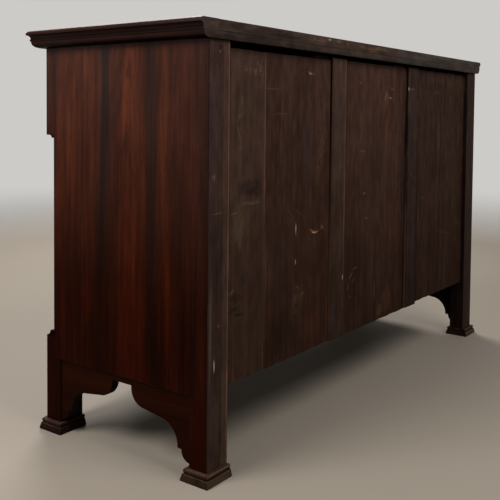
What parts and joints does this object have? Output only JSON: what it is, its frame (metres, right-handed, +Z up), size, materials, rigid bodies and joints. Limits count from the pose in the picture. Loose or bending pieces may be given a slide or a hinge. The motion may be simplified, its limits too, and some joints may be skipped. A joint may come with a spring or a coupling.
{
  "type": "sideboard",
  "caption": "Bow front sideboard with moulded top, frieze drawers on bail handles over hinged cupboard doors, shaped brackets, moulded block feet and a boarded back.",
  "frame": {"origin": "on the floor, in the middle of the whole plan", "axes": "+X to the right end seen from the front, the bowed front faces -Y, the boarded back faces +Y, +Z up"},
  "size_m": [1.469, 0.5918, 0.915],
  "materials": {
    "rosewood": "polished, with vertical figure; dull and aged on the back of the legs",
    "back_boards": "rough sawn and unpolished, darkened with age",
    "inner_wood": "plain planed, unpolished",
    "brass": "satin, slightly tarnished"
  },
  "bodies": {
    "carcass": {"top_board": "rosewood", "top_edge_moulding": "rosewood", "bed_frame": "rosewood", "rear_post_left": "rosewood", "rear_post_right": "rosewood", "front_leg_left": "rosewood", "front_leg_right": "rosewood", "feet": "rosewood", "side_panel_left": "rosewood", "side_panel_right": "rosewood", "side_apron_left": "rosewood", "side_apron_right": "rosewood", "front_apron": "rosewood", "base_moulding": "rosewood", "bottom_board": "inner_wood", "front_stile_left": "rosewood", "front_stile_right": "rosewood", "frieze_top_rail": "rosewood", "frieze_bottom_rail": "rosewood", "frieze_bead": "rosewood", "dust_board": "inner_wood", "drawer_divider_left": "rosewood", "drawer_divider_right": "rosewood", "guides_and_stops": "inner_wood", "partition_left": "rosewood", "partition_right": "rosewood", "shelves": "inner_wood", "shelf_battens": "inner_wood", "back_muntin_left": "back_boards", "back_muntin_right": "back_boards", "back_board_left": "back_boards", "back_board_centre": "back_boards", "back_boards_right": "back_boards", "back_top_rail": "inner_wood", "hinge_frame_leaves": "brass", "hinge_pins": "brass"},
    "drawer_left": {"drawer_front_left": "rosewood", "drawer_box_left": "inner_wood", "drawer_bottom_left": "inner_wood", "handle_posts_left": "brass"},
    "drawer_centre": {"drawer_front_centre": "rosewood", "drawer_box_centre": "inner_wood", "drawer_bottom_centre": "inner_wood", "handle_posts_centre": "brass"},
    "drawer_right": {"drawer_front_right": "rosewood", "drawer_box_right": "inner_wood", "drawer_bottom_right": "inner_wood", "handle_posts_right": "brass"},
    "bail_left_body": {"bail_left": "brass"},
    "bail_centre_body": {"bail_centre": "brass"},
    "bail_right_body": {"bail_right": "brass"},
    "door_left_body": {"door_left": "rosewood", "door_leaves_left": "brass", "door_knob_left": "brass"},
    "door_centre_body": {"door_centre": "rosewood", "door_leaves_centre": "brass", "door_knob_centre": "brass"},
    "door_right_body": {"door_right": "rosewood", "door_leaves_right": "brass", "door_knob_right": "brass"}
  },
  "joints": [
    {"name": "drawer_left_slide", "type": "slide", "parent": "carcass", "child": "drawer_left", "axis": [0, -1, 0], "range_m": [0, 0.32]},
    {"name": "drawer_centre_slide", "type": "slide", "parent": "carcass", "child": "drawer_centre", "axis": [0, -1, 0], "range_m": [0, 0.32]},
    {"name": "drawer_right_slide", "type": "slide", "parent": "carcass", "child": "drawer_right", "axis": [0, -1, 0], "range_m": [0, 0.32]},
    {"name": "bail_left_swing", "type": "hinge", "parent": "drawer_left", "child": "bail_left_body", "pos_m": [-0.43543, -0.25226, 0.792], "axis": [-0.9941, 0.1081, 0], "range_deg": [-20, 85]},
    {"name": "bail_centre_swing", "type": "hinge", "parent": "drawer_centre", "child": "bail_centre_body", "pos_m": [0, -0.27586, 0.792], "axis": [-1, 0, 0], "range_deg": [-20, 85]},
    {"name": "bail_right_swing", "type": "hinge", "parent": "drawer_right", "child": "bail_right_body", "pos_m": [0.43543, -0.25226, 0.792], "axis": [-0.9941, -0.1081, 0], "range_deg": [-20, 85]},
    {"name": "door_left_hinge", "type": "hinge", "parent": "carcass", "child": "door_left_body", "pos_m": [-0.64325, -0.18475, 0.454], "axis": [0, 0, -1], "range_deg": [0, 110]},
    {"name": "door_centre_hinge", "type": "hinge", "parent": "carcass", "child": "door_centre_body", "pos_m": [-0.20025, -0.23197, 0.454], "axis": [0, 0, -1], "range_deg": [0, 110]},
    {"name": "door_right_hinge", "type": "hinge", "parent": "carcass", "child": "door_right_body", "pos_m": [0.64325, -0.18475, 0.454], "axis": [0, 0, 1], "range_deg": [0, 110]}
  ]
}
